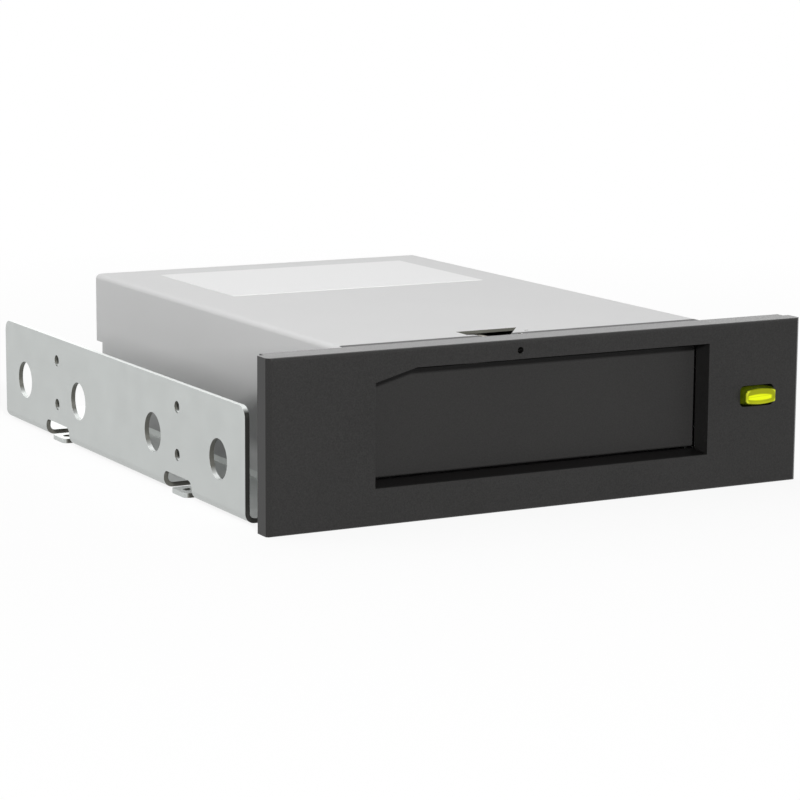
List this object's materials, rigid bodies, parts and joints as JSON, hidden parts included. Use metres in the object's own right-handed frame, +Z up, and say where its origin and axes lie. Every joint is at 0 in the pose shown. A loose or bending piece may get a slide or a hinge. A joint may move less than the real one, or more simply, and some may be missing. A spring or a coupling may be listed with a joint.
{
  "type": "removable disk cartridge drive",
  "caption": "Internal bay drive for removable disk cartridges: dark bezel with a hinged slot door and lit eject key, steel case on two side brackets, plug at the rear.",
  "frame": {"origin": "centre of the rectangle of bottom mounting holes, on the plane of the bracket pads that rest on the bay's floor", "axes": "+X to the right seen from the front, +Y from the bezel to the rear connector, +Z up"},
  "size_m": [0.148, 0.1728, 0.0413],
  "materials": {
    "bezel_plastic": "fine matt texture, near black",
    "door_plastic": "fine matt texture, near black",
    "cover_steel": "matt light grey",
    "bracket_steel": "zinc plated, satin",
    "tray_steel": "zinc plated, satin",
    "key_lens": "translucent, lit yellow-green",
    "bay_plastic": "plain moulded",
    "label_paper": "plain white, matt",
    "board_laminate": "green solder mask",
    "connector_plastic": "plain moulded",
    "contact_metal": "gold-coloured plating",
    "screw_steel": "zinc plated",
    "mechanism_steel": "plain, oiled",
    "pinion_brass": "turned",
    "gear_plastic": "natural moulded",
    "motor_steel": "bright drawn can",
    "chip_plastic": "plain moulded",
    "capacitor_metal": "bright",
    "light_plastic": "clear diffused",
    "spring_steel": "drawn wire",
    "cable_plastic": "plain flat cable"
  },
  "bodies": {
    "chassis": {"front_bezel": "bezel_plastic", "hinge_rod": "mechanism_steel", "button_spring": "spring_steel", "button_board": "board_laminate", "push_switch": "chip_plastic", "status_lights": "light_plastic", "button_cable": "cable_plastic", "cable_sockets": "connector_plastic", "top_cover": "cover_steel", "rating_label": "label_paper", "bottom_tray": "tray_steel", "bracket_left": "bracket_steel", "bracket_right": "bracket_steel", "bay_floor": "bay_plastic", "bay_guide_left": "bay_plastic", "bay_guide_right": "bay_plastic", "mechanism_deck": "mechanism_steel", "deck_pillars": "mechanism_steel", "slide_studs": "mechanism_steel", "gear_post": "mechanism_steel", "eject_motor": "motor_steel", "release_guide": "bay_plastic", "latch_post": "mechanism_steel", "main_board": "board_laminate", "board_posts": "mechanism_steel", "board_chips": "chip_plastic", "board_capacitors": "capacitor_metal", "riser_board": "board_laminate", "cartridge_connector": "connector_plastic", "host_connector": "connector_plastic", "host_contacts": "contact_metal", "bracket_screws": "screw_steel", "frame_screws": "screw_steel", "bezel_screws": "screw_steel", "side_screws": "screw_steel", "board_screws": "screw_steel", "deck_screws": "screw_steel", "panel_screws": "screw_steel"},
    "door": {"cartridge_door": "door_plastic", "door_spring": "spring_steel"},
    "button": {"eject_button": "key_lens"},
    "ejector": {"ejector_slide": "mechanism_steel"},
    "gear": {"eject_gear": "gear_plastic"},
    "pinion": {"motor_pinion": "pinion_brass"},
    "release": {"release_slide": "gear_plastic"},
    "latch": {"cartridge_latch": "mechanism_steel", "latch_spring": "spring_steel"}
  },
  "joints": [
    {"name": "door_hinge", "type": "hinge", "parent": "chassis", "child": "door", "pos_m": [0, -0.08482, 0.0368], "axis": [1, 0, 0], "range_deg": [0, 90], "stiffness_Nm_per_rad": 0.002, "springref_deg": -28.65, "deforming": ["door_spring"]},
    {"name": "button_press", "type": "slide", "parent": "chassis", "child": "button", "axis": [0, 1, 0], "range_m": [0, 0.0008], "stiffness_N_per_m": 300, "springref_m": -0.002, "deforming": ["button_spring"]},
    {"name": "eject_travel", "type": "slide", "parent": "chassis", "child": "ejector", "axis": [0, -1, 0], "range_m": [0, 0.014]},
    {"name": "gear_spin", "type": "hinge", "parent": "chassis", "child": "gear", "pos_m": [0.00832, 0.03497, 0.038], "axis": [0, 0, 1], "range_deg": [-201, 0]},
    {"name": "pinion_spin", "type": "hinge", "parent": "chassis", "child": "pinion", "pos_m": [-0.0033, 0.04598, 0.0389], "axis": [0, 0, 1], "range_deg": [0, 602]},
    {"name": "latch_pivot", "type": "hinge", "parent": "chassis", "child": "latch", "pos_m": [-0.038, -0.04102, 0.03725], "axis": [0, 0, 1], "range_deg": [0, 7.56], "stiffness_Nm_per_rad": 0.01, "springref_deg": -17.19, "deforming": ["latch_spring"]},
    {"name": "release_push", "type": "slide", "parent": "chassis", "child": "release", "axis": [0, 1, 0], "range_m": [0, 0.004]}
  ],
  "couplings": [
    {"joint": "gear_spin", "follows": "eject_travel", "rad_per_m": -250},
    {"joint": "pinion_spin", "follows": "eject_travel", "rad_per_m": 750},
    {"joint": "release_push", "follows": "latch_pivot", "m_per_rad": 0.0303}
  ]
}
